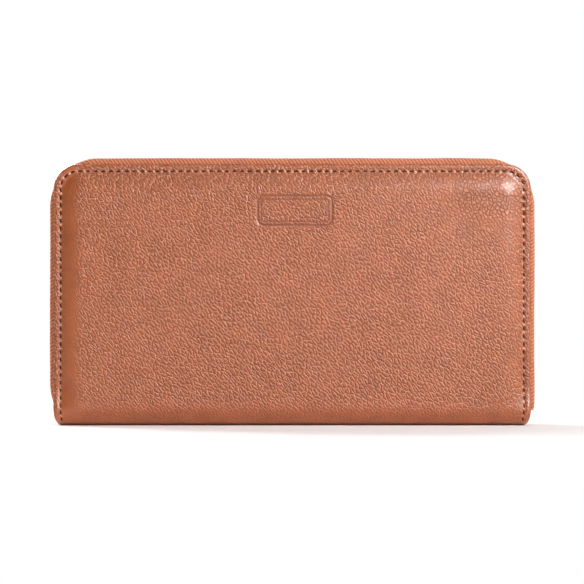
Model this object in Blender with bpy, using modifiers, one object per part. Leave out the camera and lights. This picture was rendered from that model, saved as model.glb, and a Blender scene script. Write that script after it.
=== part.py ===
"""Zip-around wallet: two padded leather halves that open like a book from a leather spine.

Run with: blender --background --python part.py

The wallet stands on its spine with its front towards -Y. The origin is the centre of the spine's
underside, X runs along the spine and +Z points to the zip's top run. The main zip goes round the
left, top and right edges. Inside, each half carries card slots, and a zipped coin pocket stands on
the spine in the mid plane, joined to the halves by folded gussets. Lengths are in metres.
"""

import math

import bmesh
import bpy
from mathutils import Vector

MM = 0.001

# Driving dimensions of the closed wallet.
WIDTH = 195 * MM  # across the zip tape's shoulders
HEIGHT = 107.5 * MM  # from the spine's underside to the zip tape's shoulder
THICKNESS = 25 * MM  # over the two padded faces
GAP = 0.2 * MM  # between pieces that rest on each other

# Outer leather.
LEATHER = 1.1 * MM
SHOULDER = 2.2 * MM  # how far the zip tape stands proud of the leather's top edge
SIDE_SHOULDER = 1.3 * MM  # and of its side edges
COVER_X = WIDTH / 2 - SIDE_SHOULDER
COVER_TOP = HEIGHT - SHOULDER
CORNER_RADIUS = 11 * MM
BORDER_Y = 9.4 * MM  # outer face of the stitched border, from the mid plane
BORDER_WIDTH = 3.6 * MM
STITCH_INSET = 2.85 * MM
PADDED_INSET = 9 * MM  # where the padded face reaches its full height
RISE_STEPS = 4

# Spine: a quarter round on each side of a flat base, about each half's pivot line.
SPINE_RADIUS = 8 * MM
PIVOT_Y = THICKNESS / 2 - SPINE_RADIUS
PIVOT_Z = SPINE_RADIUS
SPINE_ARC = 50  # degrees of the quarter round that belong to the stiff spine
FOLD_ARC = (52, 88)  # degrees of the quarter round that belong to the soft fold
SPINE_X = COVER_X - 2.2 * MM
SPINE_LAYERS = ((1.3 * MM, 1.9 * MM), (2.1 * MM, 2.4 * MM))  # stiffener, lining
SPINE_LAYER_X = 92 * MM

# Layers of one half: distance of the outer face from the mid plane, then thickness.
PADDING = (11.2 * MM, 2.0 * MM)
BOARD = (9.0 * MM, 0.65 * MM)
LINING = (7.4 * MM, 0.4 * MM)
CARD_PANEL = (6.7 * MM, 0.6 * MM)
CARD_SLOT = (5.9 * MM, 0.5 * MM)  # the deepest slot; each nearer one is a step further in
CARD_SLOT_STEP = 0.7 * MM
CARD_SLOTS = 4
PADDING_INSET = 9.8 * MM
BOARD_INSET = 7.2 * MM
LINING_OFFSET = 0.6 * MM  # of the lining's edge inside the zip's path
LAYER_BOTTOM = 9 * MM
CARD_X = 87.5 * MM
CARD_BOTTOM = 10 * MM
CARD_PANEL_TOP = 88 * MM
TOP_SLOT_Z = 76 * MM
SLOT_RISE = 10 * MM
CARD_RADIUS = 4 * MM

# Main zip. Its path is the coil's centre line; sections are (outward, across) offsets from it.
ZIP_RECESS = 1.0 * MM  # of the coil below the leather's top edge
ZIP_X = WIDTH / 2 - SHOULDER - ZIP_RECESS
ZIP_TOP = HEIGHT - SHOULDER - ZIP_RECESS
ZIP_RADIUS = 17 * MM
OPEN_END_Z = 17 * MM
CLOSED_END_Z = 14 * MM
DIVE_RADIUS = 10 * MM  # the tape's ends turn in between the covers
DIVE_ANGLE = 40  # degrees
TAPE = 0.5 * MM
TAPE_EDGE = 1.85 * MM
TAPE_WEB = 4.7 * MM
TAPE_FLANGE_Y = BORDER_Y - LEATHER - GAP - TAPE / 2
TAPE_FLANGE = 7 * MM
COIL_THICKNESS = 1.6 * MM
COIL_EDGE = 0.45 * MM
COIL_WIDTH = 1.2 * MM
STOP_LENGTH = 2 * MM
STOP_CLEARANCE = 1.2 * MM  # lets the bottom stop swing out past the front coil's end
TOP_STOP_Z = 22 * MM

# Main slider in its own frame: X outward, Y across the tapes, Z towards the closed zip.
SLIDER_Z = 31 * MM
SLIDER_LENGTH = 11 * MM
SLIDER_HALF_WIDTH = (4.2 * MM, 3.3 * MM)  # at the open mouth and at the closed end
SLIDER_HALF_DEPTH = 1.9 * MM
CHANNEL = (1.1 * MM, 2.1 * MM)  # half depth and half width of the coils' channel
SLOT_HALF_DEPTH = 0.5 * MM
POST_HALF_WIDTH = 0.25 * MM
BAIL = 0.3 * MM  # radius of the bail's wire
BAIL_HALF_LENGTH = 3 * MM
LINK = 0.35 * MM  # radius of the pull link's wire
LINK_HALF_WIDTH = 3.2 * MM
LINK_LENGTH = 7 * MM
LINK_X = SLIDER_HALF_DEPTH + 0.1 * MM + LINK
LINK_Z = -BAIL_HALF_LENGTH + 1.1 * MM
BAIL_X = LINK_X + LINK + 0.1 * MM + BAIL
TAB_LENGTH = 13 * MM
TAB_WIDTH = 4.4 * MM
TAB_SHEET = 0.5 * MM
TAB_LOOP = 0.8 * MM
TAB_LEAF = 0.35 * MM

# Coin pocket: one sheet folded to a U, and its zip, which is smaller than the main one.
POCKET_X = 86 * MM
POCKET_Y = 1.55 * MM
POCKET_WALL = 0.5 * MM
POCKET_BOTTOM = 2.95 * MM
POCKET_TOP = 75 * MM
COIN_ZIP_Z = 80 * MM
COIN_ZIP_X = 80 * MM
COIN_STOP_X = 76 * MM
COIN_SLIDER_X = 70 * MM
COIN_SCALE = 0.76
COIN_TAPE = 0.4 * MM
COIN_LINK_LENGTH = 12 * MM

# Gussets: one folded sheet at each side of each bill compartment.
GUSSET_X = (74 * MM, 86 * MM)  # fold and outer edge
GUSSET_Y = 2.55 * MM
GUSSET_LEAF = 0.35 * MM
GUSSET_SHEET = 0.4 * MM
GUSSET_Z = (10 * MM, 58 * MM)

THREAD = 0.25 * MM

# Base colour, roughness and metallic value of each finish.
FINISHES = {
    "leather": ((0.42, 0.135, 0.06), 0.45, 0.0),
    "inner_leather": ((0.38, 0.13, 0.06), 0.5, 0.0),
    "lining": ((0.24, 0.12, 0.07), 0.85, 0.0),
    "padding": ((0.75, 0.72, 0.62), 0.95, 0.0),
    "board": ((0.35, 0.28, 0.2), 0.9, 0.0),
    "tape": ((0.60, 0.19, 0.08), 0.8, 0.0),
    "coil": ((0.55, 0.18, 0.08), 0.4, 0.0),
    "thread": ((0.10, 0.03, 0.015), 0.6, 0.0),
    "metal": ((0.75, 0.6, 0.35), 0.25, 1.0),
}

UPRIGHT = (math.pi / 2, 0, 0)  # a curve's XY becomes XZ, and its Z becomes -Y
ALONG_X = (math.pi / 2, 0, math.pi / 2)  # a curve's XY becomes YZ, and its Z becomes X
LYING = (0, -math.pi / 2, 0)  # the coin slider's outward side is up and its pull end is right
TURNED = (0, 0, math.pi)  # the back half is the front half turned about Z


# ---------------------------------------------------------------- scene and materials


def clear_scene():
    for obj in list(bpy.data.objects):
        bpy.data.objects.remove(obj)


def make_collection(name):
    collection = bpy.data.collections.new(name)
    bpy.context.scene.collection.children.link(collection)
    return collection


def give_material(obj, finish):
    colour, roughness, metallic = FINISHES[finish]
    material = bpy.data.materials.new(obj.name)
    material.use_nodes = True
    shader = material.node_tree.nodes["Principled BSDF"]
    shader.inputs["Base Color"].default_value = (*colour, 1)
    shader.inputs["Roughness"].default_value = roughness
    shader.inputs["Metallic"].default_value = metallic
    obj.data.materials.append(material)


def place(name, data, finish, parent=None, location=(0, 0, 0), rotation=(0, 0, 0)):
    """Makes a piece from its mesh or curve and puts it at a place in its parent's frame."""
    obj = bpy.data.objects.new(name, data)
    bpy.data.collections["wallet"].objects.link(obj)
    give_material(obj, finish)
    obj.parent = parent
    obj.location = location
    obj.rotation_euler = rotation
    return obj


def make_guide(name, data, parent=None):
    """Makes a cutter or a guide, which isn't a piece."""
    obj = bpy.data.objects.new(name, data)
    bpy.data.collections["guides"].objects.link(obj)
    obj.parent = parent
    obj.hide_render = True
    obj.display_type = "WIRE"
    return obj


def make_pivot(name, location, rotation=(0, 0, 0), parent=None):
    """An empty on a joint's axis, which carries the pieces that move with that joint."""
    pivot = bpy.data.objects.new(name, None)
    bpy.data.collections["wallet"].objects.link(pivot)
    pivot.parent = parent
    pivot.location = location
    pivot.rotation_euler = rotation
    return pivot


# ---------------------------------------------------------------- outlines


def arc(centre, radius, start, end, steps):
    """Points on a circle from one angle to another, in degrees, both ends included."""
    angles = [math.radians(start + (end - start) * i / steps) for i in range(steps + 1)]
    return [
        (centre[0] + radius * math.cos(a), centre[1] + radius * math.sin(a)) for a in angles
    ]


def box_outline(half_width, bottom, top, top_radius, bottom_radius=0.0, steps=5):
    """A rectangle centred on x = 0 with rounded corners, from lower right round to lower left."""
    if bottom_radius:
        x, z = half_width - bottom_radius, bottom + bottom_radius
        lower_right = arc((x, z), bottom_radius, 270, 360, steps)
        lower_left = arc((-x, z), bottom_radius, 180, 270, steps)
    else:
        lower_right = [(half_width, bottom)]
        lower_left = [(-half_width, bottom)]
    x, z = half_width - top_radius, top - top_radius
    upper_right = arc((x, z), top_radius, 0, 90, steps)
    upper_left = arc((-x, z), top_radius, 90, 180, steps)
    return lower_right + upper_right + upper_left + lower_left


def band(centre_line, thickness):
    """A thin closed outline of even thickness around an open line of points."""
    line = [Vector(point) for point in centre_line]
    left, right = [], []
    for i, here in enumerate(line):
        into = (here - line[i - 1]).normalized() if i else None
        out = (line[i + 1] - here).normalized() if i + 1 < len(line) else None
        into, out = into or out, out or into
        along = (into + out).normalized()
        across = Vector((-along.y, along.x)) * (thickness / 2 / along.dot(into))
        left.append(tuple(here + across))
        right.append(tuple(here - across))
    return left + right[::-1]


def clockwise(outline):
    """The same outline, run clockwise."""
    area = sum(a[0] * b[1] - b[0] * a[1] for a, b in zip(outline, outline[1:] + outline[:1]))
    return outline[::-1] if area > 0 else outline


def hairpin(length, leaf, loop, steps=8):
    """A line that comes up one leaf, goes round a loop about the origin and down the other leaf."""
    neck = math.degrees(math.asin(leaf / loop))
    turn = arc((0, 0), loop, 270 - neck, neck - 90, steps)
    return [(-leaf, -length)] + turn + [(leaf, -length)]


# ---------------------------------------------------------------- shapes


def add_spline(curve, points, closed):
    spline = curve.splines.new("POLY")
    spline.points.add(len(points) - 1)
    for control, point in zip(spline.points, points):
        control.co = (*Vector(point).to_3d(), 1)
    spline.use_cyclic_u = closed


def flat_curve(name, outline, thickness):
    """A closed outline in the curve's XY plane, given a thickness along its Z."""
    curve = bpy.data.curves.new(name, "CURVE")
    curve.dimensions = "2D"
    curve.fill_mode = "BOTH"
    curve.extrude = thickness / 2
    add_spline(curve, outline, closed=True)
    return curve


def swept_curve(name, path, profile):
    """A closed profile of (outward, across) points carried along a flat, clockwise path."""
    shape = bpy.data.curves.new(name + "_profile", "CURVE")
    shape.dimensions = "2D"
    add_spline(shape, clockwise([(-outward, across) for outward, across in profile]), closed=True)
    curve = bpy.data.curves.new(name, "CURVE")
    curve.dimensions = "3D"
    curve.twist_mode = "Z_UP"
    curve.bevel_mode = "OBJECT"
    curve.bevel_object = make_guide(name + "_profile", shape)
    curve.use_fill_caps = True
    add_spline(curve, path, closed=False)
    return curve


def wire_curve(name, points, radius, closed=False):
    curve = bpy.data.curves.new(name, "CURVE")
    curve.dimensions = "3D"
    curve.bevel_depth = radius
    curve.bevel_resolution = 1
    curve.use_fill_caps = not closed
    add_spline(curve, points, closed)
    return curve


def block_mesh(name, low, high, bevel=0.0):
    """A box between two corners, with eased edges where a bevel is given."""
    bm = bmesh.new()
    bmesh.ops.create_cube(bm, size=1)
    low, high = Vector(low), Vector(high)
    bmesh.ops.scale(bm, vec=high - low, verts=bm.verts)
    bmesh.ops.translate(bm, vec=(low + high) / 2, verts=bm.verts)
    if bevel:
        bmesh.ops.bevel(bm, geom=bm.edges[:], offset=bevel, segments=1, affect="EDGES")
    mesh = bpy.data.meshes.new(name)
    bm.to_mesh(mesh)
    bm.free()
    return mesh


def mesh_from_curve(curve):
    """A curve's shape as a mesh with its caps welded on."""
    holder = make_guide(curve.name + "_curve", curve)
    graph = bpy.context.evaluated_depsgraph_get()
    mesh = bpy.data.meshes.new_from_object(holder.evaluated_get(graph))
    bpy.data.objects.remove(holder)
    bm = bmesh.new()
    bm.from_mesh(mesh)
    bmesh.ops.remove_doubles(bm, verts=bm.verts, dist=0.001 * MM)
    bm.to_mesh(mesh)
    bm.free()
    return mesh


def smoothstep(t):
    return t * t * (3 - 2 * t)


# ---------------------------------------------------------------- one half of the wallet


def half_place(name, data, finish, pivot, distance):
    """Puts a shape drawn in XZ into a half, with its middle at a distance from the mid plane."""
    return place(name, data, finish, pivot, (0, PIVOT_Y - distance, -PIVOT_Z), UPRIGHT)


def half_sheet(name, outline, layer, finish, pivot):
    outer, thickness = layer
    curve = flat_curve(name, outline, thickness)
    return half_place(name, curve, finish, pivot, outer - thickness / 2)


def inset_outline(inset, bottom, top_radius):
    return box_outline(COVER_X - inset, bottom, COVER_TOP - inset, top_radius, CARD_RADIUS)


def cover_mesh(name):
    """The leather of one half: a flat border, a padded rise inside the stitches and a flat face."""
    bm = bmesh.new()
    low = PIVOT_Z - 2 * PADDED_INSET
    outline = box_outline(COVER_X, low, COVER_TOP, CORNER_RADIUS, steps=6)
    face = bm.faces.new([bm.verts.new((x, -BORDER_Y, z)) for x, z in outline])
    bm.normal_update()
    bmesh.ops.inset_region(
        bm, faces=[face], thickness=BORDER_WIDTH, use_boundary=True, use_even_offset=True
    )
    width = (PADDED_INSET - BORDER_WIDTH) / RISE_STEPS
    height = THICKNESS / 2 - BORDER_Y
    for i in range(RISE_STEPS):
        rise = smoothstep((i + 1) / RISE_STEPS) - smoothstep(i / RISE_STEPS)
        bmesh.ops.inset_region(
            bm, faces=[face], thickness=width, depth=rise * height, use_even_offset=True
        )
    everything = bm.verts[:] + bm.edges[:] + bm.faces[:]
    bmesh.ops.bisect_plane(
        bm, geom=everything, plane_co=(0, 0, PIVOT_Z), plane_no=(0, 0, -1), clear_outer=True
    )
    bmesh.ops.translate(bm, verts=bm.verts, vec=(0, PIVOT_Y, -PIVOT_Z))
    mesh = bpy.data.meshes.new(name)
    bm.to_mesh(mesh)
    bm.free()
    mesh.shade_smooth()
    mesh.set_sharp_from_angle(angle=math.radians(40))
    return mesh


def cover(name, pivot):
    obj = place(name, cover_mesh(name), "leather", pivot)
    shell = obj.modifiers.new("shell", "SOLIDIFY")
    shell.thickness = LEATHER
    shell.offset = -1
    shell.use_even_offset = True


def stitch_thread(name, pivot):
    """The border's row of stitches, as one thread on the leather."""
    outline = box_outline(
        COVER_X - STITCH_INSET,
        PIVOT_Z + GAP,
        COVER_TOP - STITCH_INSET,
        CORNER_RADIUS - STITCH_INSET,
    )
    y = PIVOT_Y - (BORDER_Y + THREAD + GAP / 2)
    points = [(x, y, z - PIVOT_Z) for x, z in outline]
    place(name, wire_curve(name, points, THREAD), "thread", pivot)


def card_seam(name, pivot):
    """The seam between the two columns of card slots, which steps down from slot to slot."""
    clear = THREAD + GAP / 2
    depth = CARD_PANEL[0] - CARD_PANEL[1] - clear
    points = [(depth, CARD_PANEL_TOP - SLOT_RISE / 2)]
    for i in range(CARD_SLOTS):
        step_z = TOP_SLOT_Z - i * SLOT_RISE + clear
        points.append((depth, step_z))
        depth = CARD_SLOT[0] - i * CARD_SLOT_STEP - CARD_SLOT[1] - clear
        points.append((depth, step_z))
    points.append((depth, CARD_BOTTOM + CARD_RADIUS))
    line = [(0, PIVOT_Y - y, z - PIVOT_Z) for y, z in points]
    place(name, wire_curve(name, line, THREAD * 0.8), "thread", pivot)


def card_slots(side, pivot):
    panel = box_outline(CARD_X, CARD_BOTTOM, CARD_PANEL_TOP, CARD_RADIUS, CARD_RADIUS)
    half_sheet(f"{side}_card_panel", panel, CARD_PANEL, "inner_leather", pivot)
    for i in range(CARD_SLOTS):
        top = TOP_SLOT_Z - i * SLOT_RISE
        outline = box_outline(CARD_X, CARD_BOTTOM, top, CARD_RADIUS, CARD_RADIUS)
        layer = (CARD_SLOT[0] - i * CARD_SLOT_STEP, CARD_SLOT[1])
        half_sheet(f"{side}_card_slot_{i + 1}", outline, layer, "inner_leather", pivot)
    card_seam(f"{side}_card_seam", pivot)


def soft_layers(side, pivot):
    padding = inset_outline(PADDING_INSET, LAYER_BOTTOM + GAP, CARD_RADIUS)
    half_sheet(f"{side}_padding", padding, PADDING, "padding", pivot)
    board = inset_outline(BOARD_INSET, LAYER_BOTTOM, CORNER_RADIUS - BOARD_INSET)
    half_sheet(f"{side}_board", board, BOARD, "board", pivot)
    lining = box_outline(
        ZIP_X - LINING_OFFSET,
        LAYER_BOTTOM,
        ZIP_TOP - LINING_OFFSET,
        ZIP_RADIUS - LINING_OFFSET,
        CARD_RADIUS,
    )
    half_sheet(f"{side}_lining", lining, LINING, "lining", pivot)


# ---------------------------------------------------------------- main zip


def zip_path(left_z, right_z, dives=False):
    """The main zip's centre line in XZ: up the left side, over the top and down the right."""
    left = [(-ZIP_X, left_z)]
    right = [(ZIP_X, right_z)]
    if dives:
        inner = ZIP_X - DIVE_RADIUS
        left = arc((-inner, left_z), DIVE_RADIUS, 180 + DIVE_ANGLE, 180, 4)
        right = arc((inner, right_z), DIVE_RADIUS, 0, -DIVE_ANGLE, 4)
    x, z = ZIP_X - ZIP_RADIUS, ZIP_TOP - ZIP_RADIUS
    upper_left = arc((-x, z), ZIP_RADIUS, 180, 90, 7)
    upper_right = arc((x, z), ZIP_RADIUS, 90, 0, 7)
    return left + upper_left + upper_right + right


def tape_profile():
    """A web at the coil, a shoulder proud of the leather, and a flange under the border."""
    shoulder = SHOULDER + ZIP_RECESS - TAPE / 2
    line = [
        (0, TAPE_EDGE),
        (0, TAPE_WEB),
        (shoulder * 0.45, TAPE_WEB + 0.7 * MM),
        (shoulder * 0.9, TAPE_WEB + 1.4 * MM),
        (shoulder, TAPE_WEB + 2.1 * MM),
        (shoulder * 0.8, TAPE_FLANGE_Y - 0.2 * MM),
        (shoulder * 0.5, TAPE_FLANGE_Y),
        (-TAPE_FLANGE, TAPE_FLANGE_Y),
    ]
    return band(line, TAPE)


def coil_profile(scale=1.0):
    half = COIL_THICKNESS / 2 * scale
    near, far = COIL_EDGE * scale, (COIL_EDGE + COIL_WIDTH) * scale
    return [(-half, near), (half, near), (half, far), (-half, far)]


def main_zip(side, pivot, ends, coil_ends):
    """The tape and coil of one half; ends are heights at the half's own left and right."""
    tape = swept_curve(f"{side}_zip_tape", zip_path(*ends, dives=True), tape_profile())
    half_place(f"{side}_zip_tape", tape, "tape", pivot, 0)
    coil = swept_curve(f"{side}_zip_coil", zip_path(*coil_ends), coil_profile())
    half_place(f"{side}_zip_coil", coil, "coil", pivot, 0)


def zip_stop(name, x, low_z, near, far, pivot):
    """A metal stop on the main zip, between two distances from the mid plane."""
    half = COIL_THICKNESS / 2 + 0.1 * MM
    low = (x - half, PIVOT_Y - far, low_z - PIVOT_Z)
    high = (x + half, PIVOT_Y - near, low_z - PIVOT_Z + STOP_LENGTH)
    place(name, block_mesh(name, low, high, bevel=GAP / 2), "metal", pivot)


# ---------------------------------------------------------------- sliders and pulls


def slider_body(name, pivot, scale):
    """Two plates with flanges towards each other, joined by the post that parts the coils."""
    half = SLIDER_LENGTH / 2
    wide, narrow = SLIDER_HALF_WIDTH
    plan = [(-wide * 0.7, -half), (wide * 0.7, -half), (wide, -half * 0.6), (wide, 0)]
    plan += [(narrow, half * 0.5), (narrow * 0.7, half), (-narrow * 0.7, half)]
    plan += [(-narrow, half * 0.5), (-wide, 0), (-wide, -half * 0.6)]
    scaled = [(y * scale, z * scale) for y, z in plan]
    curve = flat_curve(name, scaled, 2 * SLIDER_HALF_DEPTH * scale)
    body = place(name, mesh_from_curve(curve), "metal", pivot, rotation=ALONG_X)
    ease = body.modifiers.new("ease", "BEVEL")
    ease.width = 0.3 * MM * scale
    ease.limit_method = "ANGLE"
    depth, width = CHANNEL
    cuts = {
        "channel": ("DIFFERENCE", (depth, width, SLIDER_LENGTH), 0),
        "slot": ("DIFFERENCE", (SLOT_HALF_DEPTH, 2 * wide, SLIDER_LENGTH), 0),
        "post": ("UNION", (CHANNEL[0] + 0.4 * MM, POST_HALF_WIDTH, half * 0.35), -half * 0.6),
    }
    for cut, (operation, size, middle) in cuts.items():
        low = Vector((-size[0], -size[1], middle - size[2])) * scale
        high = Vector((size[0], size[1], middle + size[2])) * scale
        tool = make_guide(f"{name}_{cut}", block_mesh(f"{name}_{cut}", low, high), pivot)
        join = body.modifiers.new(cut, "BOOLEAN")
        join.operation = operation
        join.object = tool


def slider_bail(name, pivot, scale):
    """The arch on the slider's outer plate that holds the pull."""
    foot = SLIDER_HALF_DEPTH + GAP
    ease = 0.5 * MM
    half = BAIL_HALF_LENGTH
    side = [(foot, half), (BAIL_X - ease, half), (BAIL_X, half - ease)]
    line = [(x, -z) for x, z in side] + side[::-1]
    points = [(x * scale, 0, z * scale) for x, z in line]
    place(name, wire_curve(name, points, BAIL * scale), "metal", pivot)


def pull_link(name, pivot, scale, length):
    """A wire link that hangs from the bail; the pivot is the axis of its upper bar."""
    half = LINK_HALF_WIDTH * scale
    ease = 0.6 * MM * scale
    line = [(half - ease, 0), (half, -ease), (half, -length + ease), (half - ease, -length)]
    points = [(0, y, z) for y, z in line] + [(0, -y, z) for y, z in line[::-1]]
    place(name, wire_curve(name, points, LINK * scale, closed=True), "metal", pivot)


def pull_tab(name, pivot):
    """A leather strip folded round the link's lower bar."""
    outline = band(hairpin(TAB_LENGTH, TAB_LEAF, TAB_LOOP), TAB_SHEET)
    curve = flat_curve(name, outline, TAB_WIDTH)
    place(name, curve, "leather", pivot, (0, 0, -LINK_LENGTH), UPRIGHT)


def slider_pivots(name, parent, location, rotation, scale):
    """The slider's pivot at its centre, and the pull's pivot on the bail."""
    slider = make_pivot(f"{name}_slider_pivot", location, rotation, parent)
    bar = (LINK_X * scale, 0, LINK_Z * scale)
    return slider, make_pivot(f"{name}_pull_pivot", bar, parent=slider)


# ---------------------------------------------------------------- spine and coin pocket


def bar_along_x(name, outline, length, finish):
    return place(name, flat_curve(name, outline, length), finish, rotation=ALONG_X)


def spine_round(side, radius, start, end, steps=5):
    """An arc of the spine's section on one side; degrees are counted from its lowest point."""
    return arc((side * PIVOT_Y, PIVOT_Z), radius, 270 + side * start, 270 + side * end, steps)


def spine():
    outer, inner = SPINE_RADIUS, SPINE_RADIUS - LEATHER
    outline = spine_round(1, outer, SPINE_ARC, 0) + spine_round(-1, outer, 0, SPINE_ARC)
    outline += spine_round(-1, inner, SPINE_ARC, 0) + spine_round(1, inner, 0, SPINE_ARC)
    bar_along_x("spine_leather", outline, 2 * SPINE_X, "leather")
    for side, name in ((-1, "front_spine_fold"), (1, "back_spine_fold")):
        fold = spine_round(side, outer, *FOLD_ARC) + spine_round(side, inner, *FOLD_ARC[::-1])
        bar_along_x(name, fold, 2 * SPINE_X, "leather")
    pieces = (("spine_stiffener", "board"), ("spine_lining", "lining"))
    for (name, finish), (low, high) in zip(pieces, SPINE_LAYERS):
        corners = (-SPINE_LAYER_X, -PIVOT_Y, low), (SPINE_LAYER_X, PIVOT_Y, high)
        place(name, block_mesh(name, *corners), finish)


def coin_pocket():
    y, low, ease = POCKET_Y, POCKET_BOTTOM, 0.5 * MM
    side = [(y, POCKET_TOP), (y, low + ease), (y - ease, low)]
    line = side + [(-y, z) for y, z in side[::-1]]
    bar_along_x("coin_pocket", band(line, POCKET_WALL), 2 * POCKET_X, "lining")


def coin_zip():
    """The pocket's zip, which lies across the pocket's mouth with its tapes turned down inside."""
    z = COIN_ZIP_Z
    leg_y = POCKET_Y - POCKET_WALL / 2 - GAP - COIN_TAPE / 2
    shoulder = 3.75 * MM
    tape = [
        (1.4 * MM, z),
        (shoulder - 0.45 * MM, z),
        (shoulder, z - 0.6 * MM),
        (shoulder, z - 1.6 * MM),
        (shoulder - 0.55 * MM, z - 2.2 * MM),
        (leg_y + 0.3 * MM, z - 3.2 * MM),
        (leg_y, z - 3.9 * MM),
        (leg_y, POCKET_TOP - 6 * MM),
    ]
    coil = [(across, z + out) for out, across in coil_profile(COIN_SCALE)]
    for side, name in ((-1, "front"), (1, "back")):
        outline = [(side * across, height) for across, height in band(tape, COIN_TAPE)]
        bar_along_x(f"coin_zip_tape_{name}", outline, 2 * COIN_ZIP_X, "tape")
        outline = [(side * across, height) for across, height in coil]
        bar_along_x(f"coin_zip_coil_{name}", outline, 2 * (COIN_STOP_X - GAP), "coil")
    half_y = (COIL_EDGE + COIL_WIDTH) * COIN_SCALE
    half_z = COIL_THICKNESS / 2 * COIN_SCALE
    for side, name in ((-1, "coin_zip_stop_left"), (1, "coin_zip_stop_right")):
        middle = side * (COIN_STOP_X + STOP_LENGTH / 2)
        low = (middle - STOP_LENGTH / 2, -half_y, z - half_z)
        high = (middle + STOP_LENGTH / 2, half_y, z + half_z)
        place(name, block_mesh(name, low, high, bevel=GAP / 2), "metal")


def gussets():
    """Folded side walls between the halves and the coin pocket, with their folds pointing in."""
    length = GUSSET_X[1] - GUSSET_X[0]
    outline = band(hairpin(length, GUSSET_LEAF * 0.98, GUSSET_LEAF, steps=4), GUSSET_SHEET)
    curve_height = GUSSET_Z[1] - GUSSET_Z[0]
    middle = (GUSSET_Z[0] + GUSSET_Z[1]) / 2
    for y, depth in ((-GUSSET_Y, "front"), (GUSSET_Y, "back")):
        for x, side in ((-GUSSET_X[0], "left"), (GUSSET_X[0], "right")):
            name = f"{depth}_gusset_{side}"
            turn = math.copysign(math.pi / 2, x)
            curve = flat_curve(name, outline, curve_height)
            place(name, curve, "lining", location=(x, y, middle), rotation=(0, 0, turn))


# ---------------------------------------------------------------- assembly


def half(side, pivot, ends, coil_ends):
    cover(f"{side}_cover", pivot)
    stitch_thread(f"{side}_stitch_thread", pivot)
    soft_layers(side, pivot)
    card_slots(side, pivot)
    main_zip(side, pivot, ends, coil_ends)


def main():
    clear_scene()
    make_collection("wallet")
    make_collection("guides")
    spine()
    coin_pocket()
    coin_zip()
    gussets()

    front = make_pivot("front_half_pivot", (0, -PIVOT_Y, PIVOT_Z))
    back = make_pivot("back_half_pivot", (0, PIVOT_Y, PIVOT_Z), TURNED)
    coil_start = OPEN_END_Z + STOP_LENGTH + STOP_CLEARANCE
    above_slider = SLIDER_Z + SLIDER_LENGTH / 2 + GAP
    above_stop = TOP_STOP_Z + STOP_LENGTH + GAP
    half("front", front, (OPEN_END_Z, CLOSED_END_Z), (coil_start, above_slider))
    half("back", back, (CLOSED_END_Z, OPEN_END_Z), (above_stop, coil_start))
    far = COIL_EDGE + COIL_WIDTH
    zip_stop("zip_bottom_stop", ZIP_X, OPEN_END_Z, -far, far, back)
    zip_stop("front_zip_top_stop", ZIP_X, TOP_STOP_Z, COIL_EDGE, far, front)
    zip_stop("back_zip_top_stop", -ZIP_X, TOP_STOP_Z, COIL_EDGE, far, back)

    at = (-ZIP_X, PIVOT_Y, SLIDER_Z - PIVOT_Z)
    slider, pull = slider_pivots("zip", back, at, TURNED, 1)
    slider_body("zip_slider", slider, 1)
    slider_bail("zip_slider_bail", slider, 1)
    pull_link("zip_pull_link", pull, 1, LINK_LENGTH)
    pull_tab("zip_pull_tab", pull)

    at = (COIN_SLIDER_X, 0, COIN_ZIP_Z)
    slider, pull = slider_pivots("coin_zip", None, at, LYING, COIN_SCALE)
    slider_body("coin_zip_slider", slider, COIN_SCALE)
    slider_bail("coin_zip_slider_bail", slider, COIN_SCALE)
    pull_link("coin_zip_pull", pull, COIN_SCALE, COIN_LINK_LENGTH)


main()
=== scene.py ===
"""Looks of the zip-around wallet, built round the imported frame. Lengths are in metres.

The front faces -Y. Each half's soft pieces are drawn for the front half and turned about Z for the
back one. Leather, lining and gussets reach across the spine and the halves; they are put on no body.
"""

import math

import bmesh
import bpy
import numpy as np
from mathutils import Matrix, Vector


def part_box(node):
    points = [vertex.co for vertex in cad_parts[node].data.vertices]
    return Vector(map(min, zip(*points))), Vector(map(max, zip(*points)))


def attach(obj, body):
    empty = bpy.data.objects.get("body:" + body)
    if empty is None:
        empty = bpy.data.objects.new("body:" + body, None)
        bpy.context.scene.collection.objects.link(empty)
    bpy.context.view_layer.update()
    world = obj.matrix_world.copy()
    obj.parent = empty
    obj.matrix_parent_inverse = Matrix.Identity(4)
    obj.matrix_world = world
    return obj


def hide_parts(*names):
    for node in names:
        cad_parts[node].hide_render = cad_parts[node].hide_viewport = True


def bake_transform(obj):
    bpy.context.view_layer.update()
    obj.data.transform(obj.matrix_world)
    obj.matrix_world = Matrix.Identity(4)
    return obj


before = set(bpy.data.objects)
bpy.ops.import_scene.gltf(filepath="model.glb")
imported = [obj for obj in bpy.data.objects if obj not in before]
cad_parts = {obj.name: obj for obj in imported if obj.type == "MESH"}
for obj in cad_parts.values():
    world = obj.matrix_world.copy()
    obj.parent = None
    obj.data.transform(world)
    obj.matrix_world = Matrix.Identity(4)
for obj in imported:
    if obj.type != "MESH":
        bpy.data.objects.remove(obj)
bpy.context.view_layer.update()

MM = 0.001
TAU = 2 * math.pi

# ---- sizes, from the frame

COVER_LOW, COVER_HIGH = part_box("front_cover")
HALF_WIDTH = COVER_HIGH.x
TOP = COVER_HIGH.z
FACE_Y = -COVER_LOW.y
PIVOT_Z = COVER_LOW.z
SPINE_RADIUS = PIVOT_Z
PIVOT_Y = FACE_Y - SPINE_RADIUS
STRAIGHT = TOP - PIVOT_Z
TURN_LENGTH = SPINE_RADIUS * math.pi / 2
SHEET_LENGTH = STRAIGHT + TURN_LENGTH + PIVOT_Y

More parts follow.
